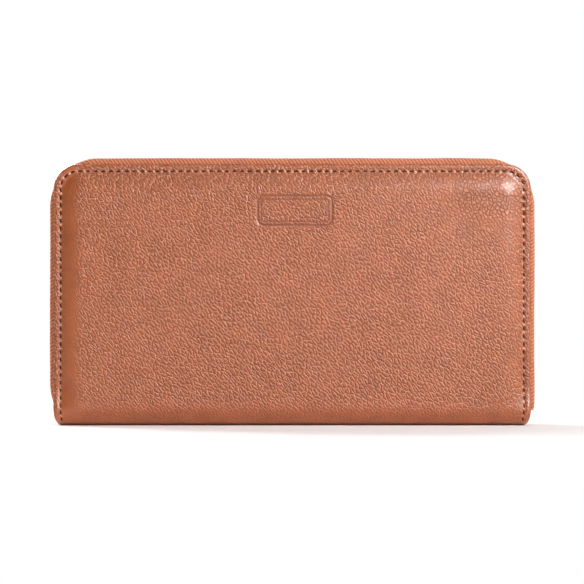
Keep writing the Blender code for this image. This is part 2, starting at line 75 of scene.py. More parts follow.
LEATHER = 1.1 * MM
CORNER_RADIUS = 10 * MM
BORDER = 3.3 * MM
BORDER_DROP = FACE_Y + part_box("front_stitch_thread")[0].y + 0.6 * MM
PAD_SLOPE = 8.5 * MM
PAD_RADIUS = 9.5 * MM
CROWN, CROWN_REACH = 0.3 * MM, 42 * MM
RIDGE, RIDGE_INSET, RIDGE_WIDTH = 0.32 * MM, 1.35 * MM, 0.75 * MM
FOOT_HEIGHT = 8 * MM
FOOT_PULL = 0.8 * MM
EDGE_EASE = 0.65 * MM
SPINE_END_EASE = 2.2 * MM

STITCH_INSET = 2.85 * MM
STITCH_PITCH = 3.1 * MM
STITCH_HALF = 0.92 * MM
STITCH_RADIUS = 0.32 * MM
STITCH_ROW_END = STRAIGHT + 0.62 * TURN_LENGTH

CARTOUCHE_X, CARTOUCHE_S = 1 * MM, 18.7 * MM
CARTOUCHE_HALF_X, CARTOUCHE_HALF_S = 15 * MM, 6 * MM
CARTOUCHE_RADIUS = 2.6 * MM

TAPE_LOW, TAPE_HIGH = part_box("front_zip_tape")
COIL_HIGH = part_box("front_zip_coil")[1]
ZIP_X = COIL_HIGH.x - 0.8 * MM
ZIP_TOP = COIL_HIGH.z - 0.8 * MM
ZIP_RADIUS = 16 * MM
ZIP_ENDS = 17.5 * MM, 9.5 * MM
ZIP_DIVES = ((24 * MM, 7.5 * MM), (15 * MM, 3 * MM))
COIL_PITCH = 1.5 * MM
COIL_LEFT_END = 20.2 * MM
COIL_RIGHT_ENDS = {"front": 36.9 * MM, "back": 24.4 * MM}
COIN_SCALE = 0.76
COIN_ZIP_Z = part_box("coin_zip_coil_front")[1].z - 0.8 * MM * COIN_SCALE
COIN_TAPE_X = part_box("coin_zip_tape_front")[1].x

CARD_NODES = ["card_panel"] + [f"card_slot_{i}" for i in range(1, 5)]
HEM = 5 * MM
GUSSET_NEAR, GUSSET_FAR = 2.15 * MM, 2.95 * MM

BLEND = {
    "front": dict(start=(0, -PIVOT_Y, 0), end=(0, -FACE_Y, PIVOT_Z)),
    "back": dict(start=(0, PIVOT_Y, 0), end=(0, FACE_Y, PIVOT_Z)),
}


# ---- numbers and noise


def smooth(t):
    t = np.clip(t, 0, 1)
    return t * t * (3 - 2 * t)


def bell(value, width):
    """A smooth bump of height 1 where the value is 0."""
    return np.exp(-((value / width) ** 2))


def value_noise(x, y, cell, seed):
    """Smooth noise between -1 and 1 on arrays of places, with features the size of a cell."""
    table = np.random.default_rng(seed).uniform(-1, 1, (64, 64))
    u, v = np.asarray(x) / cell + 1000, np.asarray(y) / cell + 1000
    i, j = np.floor(u).astype(int), np.floor(v).astype(int)
    a, b = smooth(u - i), smooth(v - j)
    i, j = i % 64, j % 64
    i2, j2 = (i + 1) % 64, (j + 1) % 64
    low = table[i, j] * (1 - a) + table[i2, j] * a
    high = table[i, j2] * (1 - a) + table[i2, j2] * a
    return low * (1 - b) + high * b


def spaced(*runs):
    """One rising list of places from runs of (start, end, step)."""
    places = [np.linspace(a, b, max(int(round((b - a) / step)), 1) + 1) for a, b, step in runs]
    return np.unique(np.round(np.concatenate(places), 7))


def mirrored(places):
    """Places up to 0 and their mirror images."""
    return np.unique(np.concatenate([places, -places]))


def rounded_box_depth(x, y, half_x, half_y, radius):
    """How far a point is inside a rounded rectangle about the origin; negative outside."""
    qx = np.abs(x) - (half_x - radius)
    qy = np.abs(y) - (half_y - radius)
    outside = np.hypot(np.maximum(qx, 0), np.maximum(qy, 0))
    return radius - outside - np.minimum(np.maximum(qx, qy), 0)


def distances(line):
    """How far along a line each of its points is."""
    return np.concatenate([[0], np.cumsum(np.linalg.norm(np.diff(line, axis=0), axis=1))])


def normals(line):
    """Unit normals on the left of a line of points in a plane."""
    along = np.gradient(line, axis=0)
    along /= np.linalg.norm(along, axis=1)[:, None]
    return np.stack([-along[:, 1], along[:, 0]], -1)


def smooth_line(points, rounds=3):
    """A rounder version of an open line, by cutting its corners."""
    points = np.asarray(points, float)
    for _ in range(rounds):
        a, b = points[:-1], points[1:]
        cut = np.stack([a * 0.75 + b * 0.25, a * 0.25 + b * 0.75], 1)
        cut = cut.reshape(-1, points.shape[1])
        points = np.concatenate([points[:1], cut, points[-1:]])
    return points


def outline(d, half_x, top, radius, left_z):
    """Places (x, z) and outward angles at distances d along a line that runs up the left side from
    left_z, over the top with round corners, and down the right side."""
    inner, shoulder, bend = half_x - radius, top - radius, math.pi / 2
    up, left, over, right = np.cumsum([shoulder - left_z, bend * radius, 2 * inner, bend * radius])
    angle = math.pi - np.clip((d - up) / radius, 0, bend) - np.clip((d - over) / radius, 0, bend)
    x = np.clip(d - left, 0, 2 * inner) - inner
    z = shoulder - np.clip(up - d, 0, None) - np.clip(d - right, 0, None)
    return x + radius * np.cos(angle), z + radius * np.sin(angle), angle


def for_half(side, *grids):
    """Points drawn for the front half, turned half a turn about Z where the back half wants them."""
    turn = np.array([-1, -1, 1])
    return [points * turn if side == "back" else points for points in grids]


# ---- meshes


class Shape:
    """Points, faces and pattern coordinates of one piece, gathered part by part."""

    def __init__(self):
        self.points = []
        self.faces = []
        self.grain = []
        self.count = 0

    def add(self, points, faces, grain=None):
        points = np.asarray(points, float).reshape(-1, 3)
        grain = points if grain is None else np.asarray(grain, float).reshape(-1, 3)
        self.points.append(points)
        self.grain.append(grain)
        self.faces += [tuple(i + self.count for i in face) for face in faces]
        self.count += len(points)

    def loft(self, rings, grain=None, closed=False):
        """A closed tube through rings of points; unless the path is closed its ends are capped."""
        rings = np.asarray(rings, float)
        n, m = rings.shape[:2]
        faces = []
        for i in range(n if closed else n - 1):
            a, b = i * m, (i + 1) % n * m
            faces += [(a + j, a + (j + 1) % m, b + (j + 1) % m, b + j) for j in range(m)]
        if not closed:
            faces.append(tuple(range(m))[::-1])
            faces.append(tuple(range((n - 1) * m, n * m)))
        self.add(rings, faces, grain)

    def slab(self, outer, inner, grain):
        """A closed sheet between two grids of points of the same size."""
        n, m = outer.shape[:2]
        size = n * m

        def at(i, j):
            return i * m + j

        faces = []
        for i in range(n - 1):
            for j in range(m - 1):
                quad = at(i, j), at(i + 1, j), at(i + 1, j + 1), at(i, j + 1)
                faces.append(quad)
                faces.append(tuple(k + size for k in quad[::-1]))
        rim = [at(i, 0) for i in range(n)] + [at(n - 1, j) for j in range(1, m)]
        rim += [at(i, m - 1) for i in range(n - 2, -1, -1)]
        rim += [at(0, j) for j in range(m - 2, 0, -1)]
        for k, a in enumerate(rim):
            b = rim[(k + 1) % len(rim)]
            faces.append((b, a, a + size, b + size))
        both = np.concatenate([outer.reshape(-1, 3), inner.reshape(-1, 3)])
        self.add(both, faces, np.concatenate([grain.reshape(-1, 3)] * 2))

    def make(self, name, material, flat_angle=50):
        mesh = bpy.data.meshes.new(name)
        mesh.from_pydata(np.concatenate(self.points).tolist(), [], self.faces)
        attribute = mesh.attributes.new("grain", "FLOAT_VECTOR", "POINT")
        attribute.data.foreach_set("vector", np.concatenate(self.grain).astype(np.float32).ravel())
        bm = bmesh.new()
        bm.from_mesh(mesh)
        bmesh.ops.recalc_face_normals(bm, faces=bm.faces)
        bm.to_mesh(mesh)
        bm.free()
        mesh.shade_smooth()
        mesh.set_sharp_from_angle(angle=math.radians(flat_angle))
        mesh.materials.append(material)
        obj = bpy.data.objects.new(name, mesh)
        bpy.context.scene.collection.objects.link(obj)
        return obj


def sheet_piece(name, look, faces, grain):
    shape = Shape()
    shape.slab(*faces, grain)
    return shape.make(name, look)


def finish(piece, body, slot, *nodes, blend=None):
    """Puts a piece on its body, or, where a blend is given, bakes its place into its points and puts
    it on no body; it stands in place of nodes.
    """
    if blend:
        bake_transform(piece)
    else:
        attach(piece, body)
    if nodes:
        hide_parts(*nodes)


def tube_rings(centres, radius, sides=8, up=(0, 1, 0), flatten=1.0, closed=False):
    """Rings of a tube along centres; it is flattened along the up direction where asked."""
    centres = np.asarray(centres, float)
    along = np.gradient(centres, axis=0)
    if closed:
        along = np.roll(centres, -1, axis=0) - np.roll(centres, 1, axis=0)
    along /= np.linalg.norm(along, axis=1)[:, None]
    up = np.broadcast_to(np.asarray(up, float), centres.shape)
    side = np.cross(along, up)
    side /= np.linalg.norm(side, axis=1)[:, None]
    up = np.cross(side, along)
    angle = np.linspace(0, TAU, sides, endpoint=False)[None, :, None]
    radius = np.broadcast_to(np.asarray(radius, float), len(centres))[:, None, None]
    across = side[:, None] * np.cos(angle) + up[:, None] * np.sin(angle) * flatten
    return centres[:, None] + across * radius


# ---- materials


def feed(tree, socket, value):
    """Links a value into a socket, or sets it there."""
    if isinstance(value, bpy.types.NodeSocket):
        tree.links.new(value, socket)
    else:
        socket.default_value = value


def add(tree, kind, inputs=None, output=0, **settings):
    """A shader node with its settings, its inputs linked or set, and one of its outputs."""
    made = tree.nodes.new("ShaderNode" + kind)
    for key, value in settings.items():
        setattr(made, key, value)
    for key, value in (inputs or {}).items():
        feed(tree, made.inputs[key], value)
    return made.outputs[output]


class Look:
    """A procedural material: pattern coordinates in millimetres, and short calls for its nodes."""

    def __init__(self, name, coordinates="grain"):
        self.material = bpy.data.materials.new(name)
        self.material.use_nodes = True
        self.tree = self.material.node_tree
        self.shader = self.tree.nodes["Principled BSDF"]
        if coordinates == "grain":
            self.source = add(self.tree, "Attribute", output="Vector", attribute_name="grain")
            self.place = self.vector("MULTIPLY", self.source, (1000, 1000, 0))
        else:
            self.source = add(self.tree, "TexCoord", output="Object")
            self.place = self.vector("SCALE", self.source, scale=1000)

    def vector(self, operation, a, b=None, scale=None):
        inputs = {0: a, 1: b, "Scale": scale}
        given = {key: value for key, value in inputs.items() if value is not None}
        return add(self.tree, "VectorMath", given, operation=operation)

    def maths(self, operation, a, b=0.0, c=0.0):
        return add(self.tree, "Math", {0: a, 1: b, 2: c}, operation=operation)

    def times(self, a, b):
        return self.maths("MULTIPLY", a, b)

    def plus_times(self, total, a, b):
        """The total with a times b added to it."""
        return self.maths("MULTIPLY_ADD", a, b, total)

    def noise(self, scale, detail=2, place=None, roughness=0.5):
        inputs = {"Vector": place or self.place, "Scale": scale, "Detail": detail}
        inputs["Roughness"] = roughness
        return add(self.tree, "TexNoise", inputs)

    def warp(self, scale, amount):
        """The coordinates pushed about by noise."""
        noise = add(self.tree, "TexNoise", {"Vector": self.place, "Scale": scale}, "Color")
        centred = self.vector("SUBTRACT", noise, (0.5, 0.5, 0.5))
        return self.vector("ADD", self.place, self.vector("SCALE", centred, scale=amount))

    def mapped(self, place, turn=0.0, scale=(1, 1, 1)):
        inputs = {"Vector": place, "Rotation": (0, 0, math.radians(turn)), "Scale": scale}
        return add(self.tree, "Mapping", inputs, vector_type="TEXTURE")

    def cells(self, place, turn, length, width):
        """Distance from the edges of cells of a length and width, turned."""
        inputs = {"Vector": self.mapped(place, turn, (length, width, 1)), "Scale": 1.0}
        kind = dict(feature="DISTANCE_TO_EDGE", voronoi_dimensions="2D")
        return add(self.tree, "TexVoronoi", inputs, **kind)

    def wave(self, place, scale, distortion=0.0):
        inputs = {"Vector": place, "Scale": scale, "Distortion": distortion}
        return add(self.tree, "TexWave", inputs, "Fac", wave_type="BANDS", bands_direction="X")

    def ramp(self, value, low, high, to_low=0.0, to_high=1.0):
        inputs = {0: value, 1: low, 2: high, 3: to_low, 4: to_high}
        return add(self.tree, "MapRange", inputs, interpolation_type="SMOOTHSTEP")

    def mix(self, factor, a, b):
        return add(self.tree, "Mix", {0: factor, 6: a, 7: b}, output=2, data_type="RGBA")

    def axis(self, index, source=None):
        return add(self.tree, "SeparateXYZ", {0: source or self.place}, output=index)

    def bump(self, height, distance):
        self.shade({"Normal": add(self.tree, "Bump", {"Height": height, "Distance": distance})})

    def shade(self, inputs):
        """Links or sets the shader's inputs."""
        for key, value in inputs.items():
            feed(self.tree, self.shader.inputs[key], value)


def srgb(red, green, blue):
    """A linear colour from 8-bit sRGB values."""
    linear = []
    for value in (red, green, blue):
        c = value / 255
        linear.append(c / 12.92 if c <= 0.04045 else ((c + 0.055) / 1.055) ** 2.4)
    return (*linear, 1)


# Places on the outer leather in millimetres, across (x) and down from the top edge (s), between
# which its looks change: the left border ends, the smooth slope beside it ends, the spine's bend
# begins, and the wide pebbles of the top right corner begin (x) and end (s).
LEFT_BORDER_END = (-93.4, -92.4)
LEFT_SLOPE_END = (-89.0, -84.0)
FOOT_BEGIN = (92.0, 105.0)
WIDE_PEBBLES_X = (52.0, 72.0)
WIDE_PEBBLES_S = (16.0, 36.0)

# Turn in degrees, length and width in millimetres.
PEBBLE = (50, 2.5, 1.25)
WIDE_PEBBLE = (60, 1.75, 1.4)
SMALL_PEBBLE = (20, 0.6, 0.5)

# Shares in the leather's colour: painted shade in the creases, painted highlight on the rims,
# darkening where pressed in, and painted highlight on the swells between stitches.
CREASE_SHADE_SHARE, RIM_HIGHLIGHT_SHARE = 0.68, 0.85
PRESSED_SHARE, SWELL_HIGHLIGHT_SHARE = 0.5, 0.6


def leather_look(name, deep, face, light, outer=True):
    """Pebbled leather: flat-topped pebbles stretched on a slant, with a painted highlight on their
    upper rims and painted shade in the creases below them; on the outer leather the wide pebbles of
    the top right corner also get painted highlights on their tops and painted shade in their
    creases. The outer leather is smooth on its left slope and towards its foot."""
    look = Look(name)
    bent = look.warp(0.45, 0.9)
    if outer:
        coarse = look.times(
            look.ramp(look.axis(0), *WIDE_PEBBLES_X), look.ramp(look.axis(1), *WIDE_PEBBLES_S, 1, 0)
        )

    def pebbles(shift):
        moved = look.vector("ADD", bent, (shift, -shift, 0))
        fine = look.cells(moved, *PEBBLE)
        if not outer:
            return fine
        wide = look.cells(moved, *WIDE_PEBBLE)
        return look.plus_times(fine, coarse, look.maths("SUBTRACT", wide, fine))

    edge = pebbles(0.0)
    # A band along one side of each pebble, its upper rim, which gets a painted highlight.
    rim = look.ramp(pebbles(0.12), 0, 0.14, 1, 0)
    # A band on the other side of each pebble, below its rim, which gets painted shade.
    crease = look.ramp(pebbles(-0.1), 0, 0.15, 1, 0)
    small = look.cells(bent, *SMALL_PEBBLE)
    strands = look.noise(1.0, detail=1, place=look.mapped(bent, 56, (3.6, 1.0, 1)))
    strand = look.ramp(look.maths("ABSOLUTE", look.maths("SUBTRACT", strands, 0.5)), 0, 0.06)
    dust = look.noise(4.0, detail=3)
    height = look.times(look.ramp(edge, 0, 0.32), 0.25)
    height = look.plus_times(height, strand, 0.07)
    height = look.plus_times(height, look.ramp(small, 0, 0.3), 0.03)
    height = look.plus_times(height, dust, 0.03)
    strength = look.ramp(look.noise(0.045, detail=1), 0.35, 0.65, 0.8, 1)
    if outer:
        border = look.ramp(look.axis(0), *LEFT_BORDER_END, 1, 0)
        from_slope = look.maths("MAXIMUM", border, look.ramp(look.axis(0), *LEFT_SLOPE_END, 0.15, 1))
        from_foot = look.ramp(look.axis(1), *FOOT_BEGIN, 1, 0.2)
        strength = look.times(strength, look.times(from_slope, from_foot))
    # Marks from the stitches and the tablet: pressed places are drawn darker, raised swells get a
    # painted highlight.
    marks = look.axis(2, look.source)
    pressed = look.ramp(marks, 0.1, 1)
    raised = look.ramp(marks, -1, -0.1, 1, 0)
    strength = look.times(strength, look.ramp(pressed, 0, 1, 1, 0.25))
    look.bump(look.times(height, strength), MM)
    mottle = look.noise(0.12, detail=4, roughness=0.6)
    patchy = look.ramp(look.noise(0.9, detail=2), 0.4, 0.62)
    if outer:
        # The wide pebbles of the top right corner get painted shade in their creases and a painted
        # highlight on their tops.
        wide_crease_shade = look.times(look.ramp(edge, 0, 0.15, 0.75, 0), coarse)
        crease = look.maths("MAXIMUM", crease, wide_crease_shade)
        dome_highlight = look.times(look.ramp(edge, 0.15, 0.5, 0, 0.55), coarse)
        patchy = look.times(patchy, look.ramp(coarse, 0, 1, 1, 0.3))
        rim = look.plus_times(dome_highlight, rim, patchy)
    else:
        rim = look.times(rim, patchy)
    tone = look.ramp(look.plus_times(mottle, dust, 0.5), 0.5, 1)
    colour = look.mix(look.times(tone, 0.3), face, deep)
    # Painted shade in the creases.
    colour = look.mix(look.times(look.times(crease, strength), CREASE_SHADE_SHARE), colour, deep)
    # Painted highlight on the upper rims and on the wide pebbles' tops.
    colour = look.mix(look.times(look.times(rim, strength), RIM_HIGHLIGHT_SHARE), colour, light)
    colour = look.mix(look.times(pressed, PRESSED_SHARE), colour, deep)
    # Painted highlight on the swells between stitches.
    colour = look.mix(look.times(raised, SWELL_HIGHLIGHT_SHARE), colour, light)
    look.shade({
        "Base Color": colour,
        "Roughness": look.ramp(dust, 0.2, 0.8, 0.36, 0.46),
        "Specular IOR Level": 0.3,
        "Coat Weight": 0.55 if outer else 0.25,
        "Coat Roughness": 0.32,
    })
    return look.material


def cloth_look(name, warp_colour, weft_colour, pitch, turn):
    """A woven cloth: diagonal ribs crossed by finer ones, a pitch apart in millimetres."""
    look = Look(name)
    frequency = TAU / 20 / pitch
    ribs = look.wave(look.mapped(look.place, turn), frequency, distortion=0.4)
    cross = look.wave(look.mapped(look.place, turn - 80), frequency * 1.7)
    height = look.plus_times(ribs, cross, 0.35)
    fuzz = look.noise(6.0, detail=3)
    look.bump(look.plus_times(height, fuzz, 0.4), 0.08 * MM)
    colour = look.mix(look.ramp(ribs, 0.15, 0.85), warp_colour, weft_colour)
    worn = look.ramp(look.noise(0.25, detail=3), 0.35, 0.75, 0, 0.25)
    colour = look.mix(worn, colour, weft_colour)
    look.shade({"Base Color": colour, "Roughness": 0.85, "Sheen Weight": 0.25})
    return look.material


def metal_look(name, colour, dull):
    """Plated metal with fine drawn scratches and a little tarnish."""
    look = Look(name, coordinates="object")
    scratches = look.noise(1.5, detail=6, place=look.mapped(look.place, scale=(4, 1, 0.25)))
    tarnish = look.ramp(look.noise(0.6, detail=3), 0.4, 0.75)
    roughness = look.ramp(scratches, 0.3, 0.7, 0.28, 0.45)
    colour = look.mix(tarnish, colour, dull)
    look.shade({"Base Color": colour, "Metallic": 1.0, "Roughness": roughness})
    look.bump(scratches, 0.01 * MM)
    return look.material


def plain_look(name, dark, light, roughness, coordinates="grain"):
    """Mottled foam, board or nylon."""
    look = Look(name, coordinates)
    speckle = look.noise(2.0, detail=4)
    colour = look.mix(look.ramp(speckle, 0.3, 0.7), dark, light)
    look.shade({"Base Color": colour, "Roughness": roughness})
    look.bump(speckle, 0.05 * MM)
    return look.material


def thread_look(name, dark, light):
    """Twisted thread: the strands run round the thread as they run along it."""
    look = Look(name)
    strands = look.wave(look.mapped(look.place, 45), 0.9)
    look.bump(strands, 0.1 * MM)
    colour = look.mix(strands, dark, light)
    look.shade({"Base Color": colour, "Roughness": 0.6, "Specular IOR Level": 0.25})
    return look.material


# Each leather's third colour is that of its painted highlights; its first also colours the painted
# shade in the creases.
LEATHER_LOOK = leather_look(
    "pebbled_leather", srgb(96, 38, 18), srgb(177, 95, 51), srgb(224, 154, 116)
)
CARD_LEATHER = leather_look(
    "card_leather", srgb(110, 56, 36), srgb(160, 90, 60), srgb(186, 122, 92), outer=False
)
THREAD_LOOK = thread_look("brown_thread", srgb(52, 18, 8), srgb(92, 38, 20))
TAN_THREAD = thread_look("tan_thread", srgb(150, 92, 62), srgb(196, 138, 104))
TAPE_LOOK = cloth_look("zip_tape_weave", srgb(160, 78, 42), srgb(208, 128, 88), 1.2, turn=35)
LINING_LOOK = cloth_look("lining_twill", srgb(112, 68, 46), srgb(142, 92, 64), 0.7, turn=45)
METAL = metal_look("light_gold_metal", srgb(206, 172, 120), srgb(160, 126, 80))
COIL_LOOK = plain_look("zip_coil_nylon", srgb(180, 92, 54), srgb(206, 120, 80), 0.38)
FOAM = plain_look("padding_foam", srgb(214, 208, 190), srgb(234, 230, 216), 0.95)
BOARD = plain_look(
    "stiffener_board", srgb(132, 112, 88), srgb(160, 140, 112), 0.9, coordinates="object"
)


# ---- the outer leather


def drape(x, s, lift):
    """Points of the front half's leather: x across, s down its outside from the top edge and
    round the spine to the middle, lifted along the outward normal."""
    x, s, lift = np.broadcast_arrays(np.asarray(x, float), s, lift)
    turn = np.clip((s - STRAIGHT) / SPINE_RADIUS, 0, math.pi / 2)
    flat = np.clip(s - STRAIGHT - TURN_LENGTH, 0, None)
    reach = SPINE_RADIUS + lift
    y = -(PIVOT_Y + reach * np.cos(turn)) + flat
    z = TOP - np.minimum(s, STRAIGHT) - reach * np.sin(turn)
    pull = FOOT_PULL * np.clip((FOOT_HEIGHT - z) / FOOT_HEIGHT, 0, 1) ** 1.4
    x = x - np.sign(x) * pull * smooth((np.abs(x) - 70 * MM) / (25 * MM))
    return np.stack([x, y, z], -1)


def round_corners(x, s, half_width=HALF_WIDTH, radius=CORNER_RADIUS):
    """Moves grid points so that the square corners at s = 0 become round ones."""
    a = np.abs(x) - (half_width - radius)
    b = radius - s
    corner = (a > 0) & (b > 0)
    pull = np.where(corner, np.maximum(a, b) / np.maximum(np.hypot(a, b), 1e-9), 1)
    x = np.where(corner, np.sign(x) * (half_width - radius + a * pull), x)
    return x, np.where(corner, radius - b * pull, s)


def stitch_places():
    """Centres (x, s) and directions of the stitches, up the left, over the top, down the right."""
    half_x, radius = HALF_WIDTH - STITCH_INSET, CORNER_RADIUS - STITCH_INSET
    total = 2 * (STITCH_ROW_END - CORNER_RADIUS) + math.pi * radius + 2 * (half_x - radius)
    count = int(total / STITCH_PITCH)
    d = (np.arange(count) + 0.5) * total / count
    x, z, angle = outline(d, half_x, -STITCH_INSET, radius, -STITCH_ROW_END)
    return np.stack([x, -z, angle - math.pi / 2], -1)


STITCHES = stitch_places()


def stitch_dents(x, s):
    """How the stitches press the leather in and how it swells between them, and marks for its
    colour: 1 where pressed in, which is drawn darker, and -1 on the raised swells, which get a
    painted highlight."""
    reach = 2.2 * MM
    dents = np.zeros_like(x)
    marks = np.zeros_like(x)
    for cx, cs, angle in STITCHES:
        dx, ds = x - cx, -(s - cs)
        near = (np.abs(dx) < reach) & (np.abs(ds) < reach)
        if not near.any():
            continue
        dx, ds = dx[near], ds[near]
        along = dx * math.cos(angle) + ds * math.sin(angle)
        across = -dx * math.sin(angle) + ds * math.cos(angle)
        groove = bell(across, 0.42 * MM) * smooth((1.2 * MM - np.abs(along)) / MM)
        hole = np.hypot(np.abs(along) - STITCH_HALF, across)
        swell = bell(np.abs(along) - STITCH_PITCH / 2, 0.42 * MM) * bell(across, 0.55 * MM)
        dents[near] += (0.2 * swell - 0.4 * groove - 0.2 * bell(hole, 0.3 * MM)) * MM
        marks[near] += groove - swell
    return dents, marks


def cartouche_dents(x, s):
    """A blank debossed tablet near the top: an outline, a thinner line inside it, a sunk middle."""
    size = CARTOUCHE_HALF_X, CARTOUCHE_HALF_S, CARTOUCHE_RADIUS
    depth = rounded_box_depth(x - CARTOUCHE_X, s - CARTOUCHE_S, *size)
    outer = bell(depth, 0.42 * MM)
    inner = bell(depth - 1.5 * MM, 0.3 * MM)
    sunk = smooth(depth / (0.6 * MM))
    dents = -(0.34 * outer + 0.14 * inner + 0.06 * sunk) * MM
    return dents, np.clip(outer + 0.6 * inner + 0.3 * sunk, 0, 1)


def border_lift(s):
    """The height of the stitched border, which comes up to the face as the spine begins."""
    return -BORDER_DROP * (1 - smooth((s - STRAIGHT + 9 * MM) / (17 * MM)))


def eased(depth, ease):
    """How far a rounded edge falls off, at a depth inside it."""
    fall = np.clip(ease - depth, 0, ease)
    return ease - np.sqrt(ease**2 - fall**2)


def leather_lift(x, s, inset, tablet):
    """The height of the leather over its plain face, at places after the corners are rounded,
    and the marks pressed into it."""
    far = 200 * MM
    depth = rounded_box_depth(x, s - BORDER - far, HALF_WIDTH - BORDER, far, PAD_RADIUS)
    rise = 1 - (1 - np.clip(depth / PAD_SLOPE, 0, 1)) ** 2.2
    waves = 0.16 * value_noise(x, s, 26 * MM, 3) + 0.07 * value_noise(x, s, 9 * MM, 4)
    waves += 0.035 * value_noise(x + s, s - 0.4 * x, 3.2 * MM, 5)
    crown = -CROWN * (1 - smooth(depth / CROWN_REACH))
    still = 1 - smooth((s - STRAIGHT) / (6 * MM))
    lift = border_lift(s) * (1 - rise)
    lift += (waves * (0.25 + 0.75 * rise) * MM + crown * rise) * still
    lift += RIDGE * bell(inset - RIDGE_INSET, RIDGE_WIDTH) * still
    lift -= eased(inset, EDGE_EASE) * still
    rounding = smooth((s - STRAIGHT - 2 * MM) / (8 * MM))
    lift -= eased(HALF_WIDTH - np.abs(x), SPINE_END_EASE) * rounding
    dents, marks = stitch_dents(x, s)
    if tablet:
        more, pressed = cartouche_dents(x, s)
        dents, marks = dents + more, marks + pressed
    return lift + dents, np.clip(marks, -1, 1)


def outer_leather(side):
    tablet = side == "front"
    w = HALF_WIDTH
    middle = 13 * MM
    rim = [(0, 0.66 * MM, 0.16 * MM), (0.66 * MM, 5 * MM, 0.36 * MM), (5 * MM, middle, 0.8 * MM)]
    step = 1.05 * MM
    x_runs = [(w - b, w - a, d) for a, b, d in rim] + [(-w + a, -w + b, d) for a, b, d in rim]
    if tablet:
        x_low, x_high = (CARTOUCHE_X + k * (CARTOUCHE_HALF_X + MM) for k in (-1, 1))
        s_low, s_high = (CARTOUCHE_S + k * (CARTOUCHE_HALF_S + MM) for k in (-1, 1))
        fine = 0.42 * MM
        x_runs += [(-w + middle, x_low, step), (x_low, x_high, fine), (x_high, w - middle, step)]
        s_runs = rim[:2] + [(5 * MM, s_low, 0.8 * MM), (s_low, s_high, fine)]
        s_runs += [(s_high, SHEET_LENGTH, step)]
    else:
        x_runs += [(-w + middle, w - middle, step)]
        s_runs = rim + [(middle, SHEET_LENGTH, step)]
    x_grid, s_grid = np.meshgrid(spaced(*x_runs), spaced(*s_runs), indexing="ij")
    inset = np.minimum(w - np.abs(x_grid), s_grid)
    x, s = round_corners(x_grid, s_grid)
    lift, marks = leather_lift(x, s, inset, tablet)
    plain = leather_lift(x, s, np.full_like(x, MM), False)[0]
    inner_lift = np.minimum(plain, lift + 0.3 * MM) - LEATHER
    faces = for_half(side, drape(x, s, lift), drape(x, s, inner_lift))
    # The third grain coordinate carries the marks: darker where pressed in, painted highlight on the
    # swells.
    grain = np.stack([x, s, marks], -1)
    cover = sheet_piece(f"{side}_leather", LEATHER_LOOK, faces, grain)
    nodes = [f"{side}_cover", f"{side}_spine_fold"] + (["spine_leather"] if tablet else [])
    finish(cover, f"{side}_half", "outer_leather", *nodes, blend=BLEND[side])


def border_stitches(side):
    """Separate stitches, each dipping into the leather at both ends, a little slanted."""
    shape = Shape()
    along = np.linspace(-1, 1, 9)
    slant = 0.14 * MM * along
    radius = STITCH_RADIUS * np.sqrt(1 - 0.75 * along**4)
    for cx, cs, angle in STITCHES:
        x = cx + along * STITCH_HALF * math.cos(angle) - slant * math.sin(angle)
        s = cs - along * STITCH_HALF * math.sin(angle) - slant * math.cos(angle)
        lift = border_lift(s) + (-0.12 - 0.35 * np.abs(along) ** 4) * MM
        centres = drape(x, s, lift)
        up = drape(x, s, lift + MM) - centres
        centres, up = for_half(side, centres, up)
        rings = tube_rings(centres, radius, up=up, flatten=0.8)
        grain = np.zeros(rings.shape)
        grain[..., 0] = (along * STITCH_HALF)[:, None]
        grain[..., 1] = np.linspace(0, TAU * 0.3 * MM, 8, endpoint=False)
        shape.loft(rings, grain)
    stitches = shape.make(f"{side}_border_stitches", THREAD_LOOK)
    thread = f"{side}_stitch_thread"
    finish(stitches, f"{side}_half", "sewing_thread", thread, blend=BLEND[side])


# ---- zips


def zip_path(left_z, right_z, dives=((MM, 0), (MM, 0))):
    """Points and outward directions of the main zip's centre line in XZ, and length so far. Past
    its two ends it may turn inwards, by a radius and a length each."""
    (left_radius, before), (right_radius, after) = dives
    sides = 2 * (ZIP_TOP - ZIP_RADIUS) - left_z - right_z
    total = sides + math.pi * ZIP_RADIUS + 2 * (ZIP_X - ZIP_RADIUS)
    d = np.arange(-before, total + after, 0.35 * MM)
    x, z, angle = outline(d, ZIP_X, ZIP_TOP, ZIP_RADIUS, left_z)
    ends = ((-d, -1, math.pi, left_z, left_radius), (d - total, 1, 0, right_z, right_radius))
    for past, sign, facing, end_z, radius in ends:
        turn = facing - sign * past / radius
        x = np.where(past > 0, sign * (ZIP_X - radius) + radius * np.cos(turn), x)
        z = np.where(past > 0, end_z + radius * np.sin(turn), z)
        angle = np.where(past > 0, turn, angle)
    return np.stack([x, z], -1), np.stack([np.cos(angle), np.sin(angle)], -1), d


def band_section(line, thickness):
    """A closed thin section round an open line of (outward, across) points."""
    side = normals(line) * thickness / 2
    return np.concatenate([line + side, (line - side)[::-1]])


def tape_piece(name, section, d, place, sway, body, node):
    """A tape of a given section along its length, with the weave's slanted ribs in relief."""
    around = distances(section)
    ribs = np.sin(TAU * (d[:, None] + around[None]) / (1.4 * MM)) * 0.035 * MM
    normal = normals(section)
    soft = section[:, 0] > 0.4 * MM
    grown = np.broadcast_to(section, (len(d), *section.shape)).copy()
    grown[..., 0] += (sway[:, None] - ribs * normal[:, 0]) * soft
    grown[..., 1] -= ribs * normal[:, 1] * soft
    grain = np.zeros((len(d), len(section), 3))
    grain[..., 0] = d[:, None]
    grain[..., 1] = around[None]
    shape = Shape()
    shape.loft(place(grown), grain)
    finish(shape.make(name, TAPE_LOOK, flat_angle=70), body, "zip_tape", node)


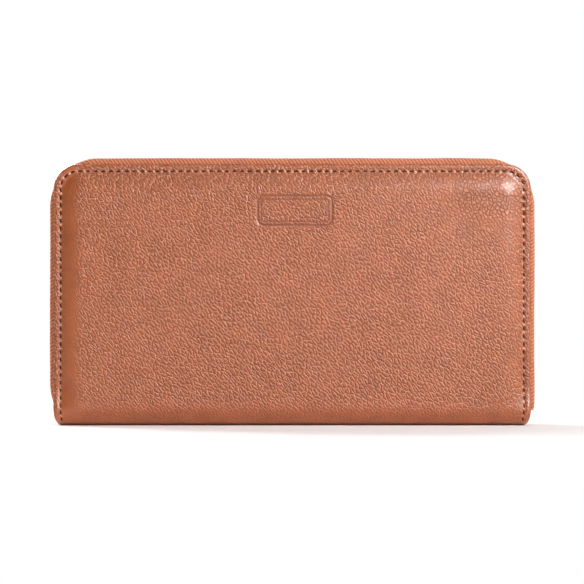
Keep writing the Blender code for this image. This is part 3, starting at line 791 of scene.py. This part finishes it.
def main_zip_tape(side):
    shoulder = TAPE_HIGH.z - ZIP_TOP + 0.05 * MM
    flange = -TAPE_LOW.y - 0.25 * MM
    web = 4.7 * MM
    line = [
        (0, 1.3 * MM),
        (0, web - 0.6 * MM),
        (0.15 * MM, web),
        (shoulder * 0.55, web + 0.75 * MM),
        (shoulder, web + 1.3 * MM),
        (shoulder, web + 2.7 * MM),
        (shoulder * 0.85, flange),
        (shoulder * 0.3, flange),
        (-6.8 * MM, flange),
    ]
    section = band_section(smooth_line(line), 0.5 * MM)
    path, outward, d = zip_path(*ZIP_ENDS, ZIP_DIVES)
    sign = -1 if side == "front" else 1

    def place(grown):
        xz = path[:, None] + outward[:, None] * grown[..., :1]
        return np.stack([xz[..., 0], sign * grown[..., 1], xz[..., 1]], -1)

    sway = 0.1 * MM * value_noise(d, 0 * d, 14 * MM, 21)
    name, node = f"{side}_zip_tape_cloth", f"{side}_zip_tape"
    tape_piece(name, section, d, place, sway, f"{side}_half", node)


def coil_piece(name, path_at, length, start, sign, scale, body, node, parts_at):
    """One half of a coil: flat turns of wire whose heads reach over the middle, up to the place
    where the slider runs; from there on they stay apart."""
    pitch = COIL_PITCH * scale
    turns = int((length - start) / pitch)
    t = np.linspace(0, turns, turns * 12 + 1)
    parted = smooth((start + t * pitch - parts_at) / (6 * MM))
    from_middle = 0.65 + 0.5 * parted
    reach = 1.08 - 0.48 * parted
    across = (from_middle - reach * np.cos(TAU * t)) * MM * scale
    out = 0.5 * np.sin(TAU * t) * MM * scale
    point, outward = path_at(start + (t - 0.12 * np.sin(2 * TAU * t)) * pitch)
    centres = point + outward * out[:, None] + np.array([0, sign, 0]) * across[:, None]
    shape = Shape()
    shape.loft(tube_rings(centres, 0.27 * MM * scale, sides=6, up=(0, 1, 0.001)))
    finish(shape.make(name, COIL_LOOK, flat_angle=80), body, "zip_coil", node)


def main_zip_coil(side):
    """The front half's coil ends above the parked slider, half a turn out of step with the
    back one's."""
    right_z = COIL_RIGHT_ENDS[side]
    path, outward, d = zip_path(COIL_LEFT_END, right_z)

    def path_at(wanted):
        p = [np.interp(wanted, d, path[:, k]) for k in (0, 1)]
        o = [np.interp(wanted, d, outward[:, k]) for k in (0, 1)]
        zero = 0 * wanted
        return np.stack([p[0], zero, p[1]], -1), np.stack([o[0], zero, o[1]], -1)

    sign, start = (-1, 0.0) if side == "front" else (1, 0.5 * COIL_PITCH)
    coil = f"{side}_zip_coil_turns", path_at, d[-1], start, sign, 1
    travel = ZIP_TOP - ZIP_RADIUS - right_z + 6 * MM
    coil_piece(*coil, f"{side}_half", f"{side}_zip_coil", d[-1] - travel)


def coin_zip():
    """The pocket's zip: tapes that lie across its mouth and turn down inside its walls."""
    z, half_x = COIN_ZIP_Z, COIN_TAPE_X
    line = [(0, 1.25), (0, 2.9), (-0.2, 3.6), (-1.1, 3.75), (-2, 3.5), (-3.2, 1.2), (-3.9, 0.9)]
    line = smooth_line(np.array(line + [(-11, 0.9)]) * MM)
    section = band_section(line, 0.4 * MM)
    d = np.arange(0, 2 * half_x, 0.4 * MM)
    coil_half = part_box("coin_zip_coil_front")[1].x

    def path_at(wanted):
        zero = 0 * wanted
        point = np.stack([wanted - coil_half, zero, zero + z], -1)
        return point, np.stack([zero, zero, zero + 1], -1)

    for sign, name, phase in ((-1, "front", 0.0), (1, "back", 0.5)):

        def place(grown):
            x = np.broadcast_to(d[:, None] - half_x, grown.shape[:2])
            return np.stack([x, sign * grown[..., 1], z + grown[..., 0]], -1)

        tape, node = f"coin_tape_cloth_{name}", f"coin_zip_tape_{name}"
        tape_piece(tape, section, d, place, 0 * d, "spine", node)
        start = phase * COIL_PITCH * COIN_SCALE
        coil = f"coin_coil_turns_{name}", path_at, 2 * coil_half, start, sign, COIN_SCALE
        coil_piece(*coil, "spine", f"coin_zip_coil_{name}", -10 * MM)


# ---- layers inside the halves


def face_grid(half_x, low, high, step, across=(), down=()):
    """Grid of (x, distance below the top) over a sheet, finer at its edges and in extra runs
    across and down, and how far each place is inside the sheet."""
    e = 2 * MM
    fine = e / 4
    depth = high - low
    x = spaced((-half_x, -half_x + e, fine), (-half_x + e, half_x - e, step),
               (half_x - e, half_x, fine), *across)
    s = spaced((0, e, fine), *down, (e, depth - e, step), (depth - e, depth, fine))
    x, s = np.meshgrid(x, s, indexing="ij")
    inset = np.minimum(np.minimum(half_x - np.abs(x), s), depth - s)
    return x, s, inset


def half_sheet(side, name, look, slot, node, x, z, outer, inner):
    """A sheet that rides on one half, given its two faces' distances from the mid plane."""
    faces = for_half(side, *(np.stack([x, -distance, z], -1) for distance in (outer, inner)))
    sheet = sheet_piece(name, look, faces, np.stack([x, z, 0 * x], -1))
    finish(sheet, f"{side}_half", slot, f"{side}_{node}")


def round_edge(inset, ease):
    """Share of a sheet's thickness that is left near its edge."""
    return np.sqrt(1 - (1 - np.clip(inset / ease, 0.02, 1)) ** 2)


def foam_pad(side):
    low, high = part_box("front_padding")
    x, s, inset = face_grid(high.x, low.z, high.z, 3 * MM)
    x, s = round_corners(x, s, high.x, 5 * MM)
    inner = -high.y
    puff = round_edge(inset, 7 * MM) * (1 + 0.05 * value_noise(x, s, 11 * MM, 8))
    outer = inner + (-low.y - inner - 0.3 * MM) * puff
    sheet = x, high.z - s, outer, np.full_like(x, inner)
    half_sheet(side, f"{side}_foam_pad", FOAM, "padding_foam", "padding", *sheet)


def card_sheet(side, node):
    """A leather card slot or panel: a turned and pressed top hem, and the column seam's dent."""
    low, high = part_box(f"front_{node}")
    seam_run = (-1.5 * MM, 1.5 * MM, 0.3 * MM)
    hem_run = (HEM - MM, HEM + MM, 0.3 * MM)
    x, s, inset = face_grid(high.x, low.z, high.z, 2.2 * MM, [seam_run], [hem_run])
    x, s = round_corners(x, s, high.x, 4 * MM)
    thick = high.y - low.y
    seed = sum(ord(letter) for letter in node)
    body = thick - 0.1 * MM * smooth((s - HEM) / (0.5 * MM))
    body -= 0.07 * MM * bell(s - HEM + 0.9 * MM, 0.35 * MM)
    body -= 0.12 * MM * bell(x, 0.5 * MM)
    body += 0.04 * MM * value_noise(x, s, 13 * MM, seed) * smooth((s - HEM) / HEM)
    edge = round_edge(inset, 0.3 * MM)
    sheet = x, high.z - s, -low.y - thick / 2 * (1 - edge), -low.y - body * edge
    half_sheet(side, f"{side}_leather_{node}", CARD_LEATHER, "card_leather", node, *sheet)


def stitch(shape, centre, along, up, half_length, radius, sink):
    """One stitch whose ends dip into the sheet."""
    t = np.linspace(-1, 1, 7)
    centre, along, up = (np.asarray(v, float) for v in (centre, along, up))
    centres = centre + along * (t * half_length)[:, None] - up * (sink * np.abs(t) ** 3)[:, None]
    shape.loft(tube_rings(centres, radius * np.sqrt(1 - 0.75 * t**4), sides=6, up=up))


def card_seam(side):
    """Stitches down the middle of the card slots."""
    shape = Shape()
    boxes = [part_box(f"front_{node}") for node in CARD_NODES]
    floors = [box[1].z for box in boxes[1:]] + [boxes[-1][0].z + 3 * MM]
    for (low, high), floor in zip(boxes, floors):
        top = high.z - 1.5 * MM
        count = int((top - floor) / (2.8 * MM))
        for k in range(count):
            z = top - (k + 0.5) * (top - floor) / count
            centre, up = np.array([0, high.y - 0.02 * MM, z]), np.array([0, 1.0, 0])
            centre, up = for_half(side, centre, up)
            stitch(shape, centre, (0, 0, 1), up, 0.95 * MM, 0.16 * MM, 0.25 * MM)
    seam = shape.make(f"{side}_card_stitches", TAN_THREAD)
    finish(seam, f"{side}_half", "sewing_thread", f"{side}_card_seam")


def lining(side):
    """The half's lining, which runs on down round the inside of the spine to its middle."""
    low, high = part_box("front_lining")
    y = -(low.y + high.y) / 2
    bend = np.array([(6.3, 4.6), (4.6, 2.7), (2.8, 2.3), (0, 2.3)]) * MM
    bend = smooth_line([(y, 12 * MM), (y, 8 * MM), *bend])
    line = np.concatenate([[(y, high.z)], bend])
    length = distances(line)
    edge, straight_end = 20 * MM, 88 * MM
    x = mirrored(spaced((-high.x, -high.x + edge, 1.2 * MM), (-high.x + edge, 0, 2.5 * MM)))
    s = spaced(
        (0, edge, 1.2 * MM), (edge, straight_end, 2.5 * MM), (straight_end, length[-1], 0.8 * MM)
    )
    x, s = np.meshgrid(x, s, indexing="ij")
    x, s = round_corners(x, s, high.x, ZIP_RADIUS - 0.6 * MM)
    along = np.gradient(line, length, axis=0)
    p = [np.interp(s, length, line[:, k]) for k in (0, 1)]
    a = [np.interp(s, length, along[:, k]) for k in (0, 1)]
    size = np.hypot(*a)
    n = -a[1] / size, a[0] / size
    x = x * (1 - 0.025 * smooth((s - straight_end) / (8 * MM)))
    wave = 0.08 * MM * value_noise(x, s, 12 * MM, 31)
    faces = []
    for offset in (wave + 0.15 * MM, wave - 0.15 * MM):
        faces.append(np.stack([x, -(p[0] + n[0] * offset), p[1] + n[1] * offset], -1))
    faces, grain = for_half(side, *faces), np.stack([x, s, 0 * x], -1)
    cloth = sheet_piece(f"{side}_lining_cloth", LINING_LOOK, faces, grain)
    nodes = [f"{side}_lining"] + (["spine_lining"] if side == "front" else [])
    finish(cloth, f"{side}_half", "lining_cloth", *nodes, blend=BLEND[side])


# ---- coin pocket and gussets


def coin_pocket():
    """One cloth sheet folded to a U, hemmed at the mouth. Its walls close up at the sides, where
    they are sewn to each other."""
    low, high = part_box("coin_pocket")
    wall = 0.5 * MM
    closed_wall = 0.19 * MM
    y = high.y - wall / 2
    ease = 0.9 * MM
    bottom = low.z + wall / 2
    bend = smooth_line([(y, bottom + ease), (y - ease, bottom), (0, bottom)])
    down = np.array([(y, z) for z in spaced((bottom + ease, high.z, 2 * MM))[::-1][:-1]])
    one = np.concatenate([down, bend])
    line = np.concatenate([one, (one * [-1, 1])[::-1][1:]])
    length = distances(line)
    x = mirrored(spaced((-high.x, -high.x + 4 * MM, 0.5 * MM), (-high.x + 4 * MM, 0, 2 * MM)))
    x, k = np.meshgrid(x, np.arange(len(line)), indexing="ij")
    n = normals(line)[k]
    s = np.minimum(length, length[-1] - length)[k]
    from_side = high.x - np.abs(x)
    thick = wall * (0.72 + 0.28 * (1 - smooth((s - 4 * MM) / (0.8 * MM))))
    thick = thick * round_edge(np.minimum(from_side, s), 0.3 * MM)
    thick -= 0.12 * MM * bell(from_side - 2 * MM, 0.4 * MM)
    wave = 0.07 * MM * value_noise(x, s, 10 * MM, 41)
    closing = smooth((9 * MM - from_side) / (6 * MM))
    thick = thick * (1 - 0.3 * closing)
    pull = closing * (1 - closed_wall / y)
    faces = []
    for offset in (wave + thick / 2, wave - thick / 2):
        points = line[k] + n * offset[..., None]
        reach = points[..., 0] - line[k][..., 0] * pull
        faces.append(np.stack([x, reach, points[..., 1]], -1))
    grain = np.stack([x, length[k], 0 * x], -1)
    pocket = sheet_piece("coin_pocket_cloth", LINING_LOOK, faces, grain)
    finish(pocket, "spine", "lining_cloth", "coin_pocket")


def gusset(side, end):
    """A folded side wall: one leaf on the half, one on the coin pocket, its fold pointing in."""
    node = f"{side}_gusset_{end}"
    low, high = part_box(node)
    sign_y = -1 if side == "front" else 1
    sign_x = -1 if end == "left" else 1
    edge, fold = max(abs(low.x), abs(high.x)), min(abs(low.x), abs(high.x))
    near, far = GUSSET_NEAR, GUSSET_FAR
    middle = (near + far) / 2
    line = [(edge, far), (fold + MM, middle + 0.2 * MM), (fold, middle)]
    line += [(fold + MM, middle - 0.2 * MM), (edge, near)]
    dense = np.concatenate([np.linspace(a, b, 6)[:-1] for a, b in zip(line, line[1:])] + [line[-1:]])
    z = spaced((low.z, high.z, 2 * MM))
    faces = []
    for offset in (0.1 * MM, -0.1 * MM):
        points = dense + normals(dense) * offset
        grid = np.empty((len(z), len(points), 3))
        grid[..., 0] = sign_x * points[:, 0]
        grid[..., 1] = sign_y * points[:, 1]
        grid[..., 2] = z[:, None]
        faces.append(grid)
    grain = np.zeros(faces[0].shape)
    grain[..., 0] = distances(dense)
    grain[..., 1] = z[:, None]
    cloth = sheet_piece(f"{node}_cloth", LINING_LOOK, faces, grain)
    across = dict(start=(0, sign_y * near, 0), end=(0, sign_y * far, 0))
    finish(cloth, f"{side}_half", "lining_cloth", node, blend=across)


# ---- sliders, pulls, kept parts


class Slider:
    """A slider's own frame: out from the zip, across it, and along it towards the closed end."""

    def __init__(self, node, out, across, along, scale):
        low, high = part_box(node)
        self.centre = np.array((low + high) / 2)
        self.axes = np.array([out, across, along], float)
        self.scale = scale

    def place(self, points):
        return self.centre + np.asarray(points, float) @ self.axes * self.scale


PLATE = 1.9 * MM
BAIL_WIRE = 0.3 * MM
BAIL_HALF = 3 * MM
LINK_WIRE = 0.35 * MM
LINK_HALF = 3.2 * MM
LINK_CORNER = 1.0 * MM
LINK_OUT = PLATE + 0.1 * MM + LINK_WIRE
LINK_START = -BAIL_HALF + 1.1 * MM
LINK_LENGTH = {"zip": 7 * MM, "coin_zip": 12 * MM}
BAIL_OUT = LINK_OUT + LINK_WIRE + 0.1 * MM + BAIL_WIRE


def wire(name, centres, radius, up, body, node, closed=False):
    shape = Shape()
    rings = tube_rings(centres, radius, sides=12, up=up, closed=closed)
    shape.loft(rings, closed=closed)
    finish(shape.make(name, METAL), body, "zip_metal", node)


def slider_wires(kind, slider):
    """The bail, an arch on the slider's plate, and the pull's link, a long closed loop."""
    foot = PLATE + 0.2 * MM
    arch = [(foot, 0, -BAIL_HALF), (BAIL_OUT, 0, -BAIL_HALF)]
    arch += [(BAIL_OUT, 0, BAIL_HALF), (foot, 0, BAIL_HALF)]
    centres = slider.place(smooth_line(arch, rounds=4))
    bail = BAIL_WIRE * slider.scale
    node = f"{kind}_slider_bail"
    wire(f"{kind}_bail_arch", centres, bail, slider.axes[1], f"{kind}_slider", node)
    corner, length = LINK_CORNER, LINK_LENGTH[kind] / slider.scale
    loop = []
    for sy, sz, turn in ((1, 0, 0), (1, 1, 90), (-1, 1, 180), (-1, 0, 270)):
        y = sy * (LINK_HALF - corner)
        z = LINK_START - corner - sz * (length - 2 * corner)
        for angle in np.radians(90 - turn - np.arange(0, 91, 15)):
            loop.append((LINK_OUT, y + corner * math.cos(angle), z + corner * math.sin(angle)))
    node = "zip_pull_link" if kind == "zip" else "coin_zip_pull"
    link = slider.place(loop), LINK_WIRE * slider.scale, slider.axes[0]
    wire(f"{kind}_pull_wire", *link, f"{kind}_pull", node, closed=True)


def pull_tab(slider):
    """A leather strip folded round the link's lower bar, its two leaves sewn together."""
    low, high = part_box("zip_pull_tab")
    bar = LINK_START - LINK_LENGTH["zip"]
    length = slider.centre[2] + bar - low.z
    loop, leaf, sheet = 0.8 * MM, 0.35 * MM, 0.5 * MM
    neck = math.asin(leaf / loop)
    angles = np.linspace(1.5 * math.pi - neck, -0.5 * math.pi + neck, 28)
    turn = np.stack([loop * np.cos(angles), loop * np.sin(angles)], -1)
    down = np.linspace(-length, turn[0, 1], 24)[:-1]
    leaves = [np.stack([np.full_like(down, leaf * k), down[::-k]], -1) for k in (-1, 1)]
    line = np.concatenate([leaves[0], turn, leaves[1]])
    half_width = (high.y - low.y) / 2
    y = np.linspace(-1, 1, 13)
    tip = length + line[:, 1]
    narrow = np.sqrt(1 - (1 - np.clip(tip / (1.8 * MM), 0.0, 1)) ** 2 * 0.6)
    ease = np.sqrt(1 - np.clip((np.abs(y) - 0.85) / 0.16, 0, 1) ** 2)
    faces = []
    for sign in (1, -1):
        offset = (sign * sheet / 2 * ease)[None, :, None]
        points = line[:, None] + normals(line)[:, None] * offset
        width = np.broadcast_to(half_width * y[None] * narrow[:, None], points.shape[:2])
        local = np.stack([LINK_OUT + points[..., 0], width, bar + points[..., 1]], -1)
        faces.append(slider.place(local))
    grain = np.zeros(faces[0].shape)
    grain[..., 0] = half_width * y
    grain[..., 1] = distances(line)[:, None]
    tab = sheet_piece("zip_pull_leather", CARD_LEATHER, faces, grain)
    finish(tab, "zip_pull", "outer_leather", "zip_pull_tab")
    shape = Shape()
    seam = half_width - 0.8 * MM
    for out in (1, -1):
        for across in (seam, -seam):
            for along in (2.2, 4.3, 6.4, 8.5, 10.6):
                place = LINK_OUT + out * (leaf + sheet / 2), across, bar - along * MM
                centre = slider.place(place)
                stitch(shape, centre, (0, 0, 1), (out, 0, 0), 0.75 * MM, 0.13 * MM, 0.2 * MM)
    finish(shape.make("zip_pull_stitches", THREAD_LOOK), "zip_pull", "sewing_thread")


def metal_part(node, body, ease):
    """A metal part in its CAD shape, drawn again with eased edges."""
    bm = bmesh.new()
    bm.from_mesh(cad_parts[node].data)
    bmesh.ops.remove_doubles(bm, verts=bm.verts, dist=0.001 * MM)
    bmesh.ops.dissolve_limit(bm, angle_limit=math.radians(1), verts=bm.verts, edges=bm.edges)
    sharp = [edge for edge in bm.edges if edge.calc_face_angle(0) > math.radians(35)]
    bmesh.ops.bevel(
        bm, geom=sharp, offset=ease, segments=2, profile=0.5, affect="EDGES", clamp_overlap=True
    )
    bm.verts.index_update()
    shape = Shape()
    shape.add([v.co for v in bm.verts], [[v.index for v in face.verts] for face in bm.faces])
    bm.free()
    finish(shape.make(f"{node}_metal", METAL), body, "zip_metal", node)


def keep(node, look):
    """A CAD part that is shown as it is, with a finish."""
    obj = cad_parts[node]
    obj.data.materials.clear()
    obj.data.materials.append(look)


# ---- stage

MIDDLE = Vector((0, 0, 0.055))
WHITE = (1, 1, 1)
WARM_WHITE = (1, 0.97, 0.96)
LIGHTS = (
    ("key", (0.68, -0.5, 0.6), (0.35, 0.35), 7.5, WARM_WHITE, None),
    ("top", (0.1, -0.55, 1.0), (1.2, 0.4), 2.2, WHITE, None),
    ("side", (1.1, -0.6, 0.25), (0.4, 0.9), 2.2, WHITE, None),
    ("fill", (-0.3, -1.6, 0.5), (1.2, 1.2), 6, WHITE, "visible_glossy"),
    ("gleam", (0.22, -0.3, 0.24), (0.16, 0.16), 2.9, WARM_WHITE, "visible_diffuse"),
)
FLOOR_RADIUS = 12
FLOOR_DROP = 0.05 * MM
FLOOR_FADE = (0.11, 0.4)

CAMERA_DISTANCE = 1.2
CAMERA_X, CAMERA_Z = -0.1 * MM, 53.8 * MM
COVER_DISTANCE = CAMERA_DISTANCE - 10 * MM
PIXELS_PER_METRE = 2483
PICTURE_WIDTH = 584
SENSOR_WIDTH = 36


def floor_look():
    """A pale floor that goes over into the white background away from the wallet."""
    material = bpy.data.materials.new("pale_floor")
    material.use_nodes = True
    tree = material.node_tree
    shader = tree.nodes["Principled BSDF"]
    shader.inputs["Base Color"].default_value = (0.93, 0.93, 0.93, 1)
    shader.inputs["Roughness"].default_value = 0.9
    place = add(tree, "TexCoord", output="Object")
    length = add(tree, "VectorMath", {0: place}, "Value", operation="LENGTH")
    far = add(tree, "MapRange", {0: length, 1: FLOOR_FADE[0], 2: FLOOR_FADE[1]})
    white = add(tree, "Emission", {"Color": (1, 1, 1, 1), "Strength": 1.0})
    seen = add(tree, "LightPath", output="Is Camera Ray")
    share = add(tree, "Math", {0: far, 1: seen}, operation="MULTIPLY")
    mixed = add(tree, "MixShader", {0: share, 1: shader.outputs[0], 2: white})
    tree.links.new(mixed, tree.nodes["Material Output"].inputs["Surface"])
    return material


def make_floor():
    mesh = bpy.data.meshes.new("floor")
    bm = bmesh.new()
    bmesh.ops.create_circle(bm, cap_ends=True, segments=64, radius=FLOOR_RADIUS)
    bm.to_mesh(mesh)
    bm.free()
    obj = bpy.data.objects.new("floor", mesh)
    bpy.context.scene.collection.objects.link(obj)
    obj.location.z = -FLOOR_DROP
    mesh.materials.append(floor_look())


def make_world():
    """A dim studio that the camera sees as white."""
    world = bpy.data.worlds.new("studio")
    bpy.context.scene.world = world
    world.use_nodes = True
    tree = world.node_tree
    background = tree.nodes["Background"]
    background.inputs["Color"].default_value = (1, 1, 1, 1)
    seen = add(tree, "LightPath", output="Is Camera Ray")
    strength = add(tree, "MapRange", {0: seen, 3: 0.08, 4: 1.0})
    tree.links.new(strength, background.inputs["Strength"])


def make_lights():
    """The same soft lights for the front and, turned half a turn, for the back."""
    for turn in (1, -1):
        for name, (x, y, z), size, power, colour, hidden_from in LIGHTS:
            data = bpy.data.lights.new(name, "AREA")
            data.shape = "RECTANGLE"
            data.size, data.size_y = size
            data.energy = power
            data.color = colour
            light = bpy.data.objects.new(name, data)
            bpy.context.scene.collection.objects.link(light)
            light.location = place = Vector((x * turn, y * turn, z))
            light.rotation_euler = (MIDDLE - place).to_track_quat("-Z", "Y").to_euler()
            if hidden_from:
                setattr(light, hidden_from, False)


def make_camera():
    data = bpy.data.cameras.new("camera")
    data.lens = SENSOR_WIDTH * COVER_DISTANCE * PIXELS_PER_METRE / PICTURE_WIDTH
    data.clip_start = 0.05
    camera = bpy.data.objects.new("camera", data)
    bpy.context.scene.collection.objects.link(camera)
    camera.location = (CAMERA_X, -CAMERA_DISTANCE, CAMERA_Z)
    camera.rotation_euler = (math.pi / 2, 0, 0)
    bpy.context.scene.camera = camera
    bpy.context.scene.view_settings.view_transform = "Standard"


# ---- assembly

for half_name in ("front", "back"):
    outer_leather(half_name)
    border_stitches(half_name)
    main_zip_tape(half_name)
    main_zip_coil(half_name)
    foam_pad(half_name)
    lining(half_name)
    for node_name in CARD_NODES:
        card_sheet(half_name, node_name)
    card_seam(half_name)
    for end_name in ("left", "right"):
        gusset(half_name, end_name)
    keep(f"{half_name}_board", BOARD)
    metal_part(f"{half_name}_zip_top_stop", f"{half_name}_half", 0.2 * MM)
coin_pocket()
coin_zip()

main_slider = Slider("zip_slider", (1, 0, 0), (0, 1, 0), (0, 0, 1), 1)
coin_slider = Slider("coin_zip_slider", (0, 0, 1), (0, 1, 0), (-1, 0, 0), COIN_SCALE)
slider_wires("zip", main_slider)
slider_wires("coin_zip", coin_slider)
pull_tab(main_slider)
metal_part("zip_slider", "zip_slider", 0.12 * MM)
metal_part("coin_zip_slider", "coin_zip_slider", 0.09 * MM)
metal_part("zip_bottom_stop", "back_half", 0.15 * MM)
for stop in ("coin_zip_stop_left", "coin_zip_stop_right"):
    metal_part(stop, "spine", 0.12 * MM)
keep("spine_stiffener", BOARD)

make_floor()
make_world()
make_lights()
make_camera()
